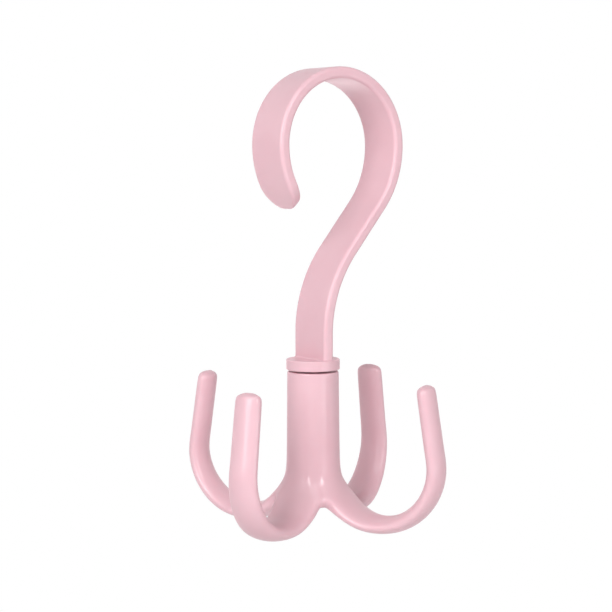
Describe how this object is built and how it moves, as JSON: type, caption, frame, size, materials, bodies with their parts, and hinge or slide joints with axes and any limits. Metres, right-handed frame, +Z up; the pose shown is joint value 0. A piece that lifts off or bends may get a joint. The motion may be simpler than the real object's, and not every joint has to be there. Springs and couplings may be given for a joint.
{
  "type": "rotating closet hook",
  "caption": "Flat-band question-mark crook with a collar, snapped into a swivelling sleeve that splits into J-shaped arms for bags, belts and scarves.",
  "frame": {"origin": "the top of the crook's inner face, in the middle of the band's width, where it rests on the rod", "axes": "+Z up along the swivel's axis, +X across the crook's plane away from its mouth, +Y along the rod"},
  "size_m": [0.0997, 0.0998, 0.1708],
  "materials": {
    "pale_pink_crook": "satin-gloss pale pink moulded plastic",
    "pale_pink_claw": "satin-gloss pale pink moulded plastic"
  },
  "bodies": {
    "crook": {"crook_hook": "pale_pink_crook"},
    "claw": {"claw_hub": "pale_pink_claw"}
  },
  "joints": [
    {"name": "claw_swivel", "type": "hinge", "parent": "crook", "child": "claw", "pos_m": [-0.00764, 0, -0.1098], "axis": [0, 0, 1], "continuous": true}
  ]
}
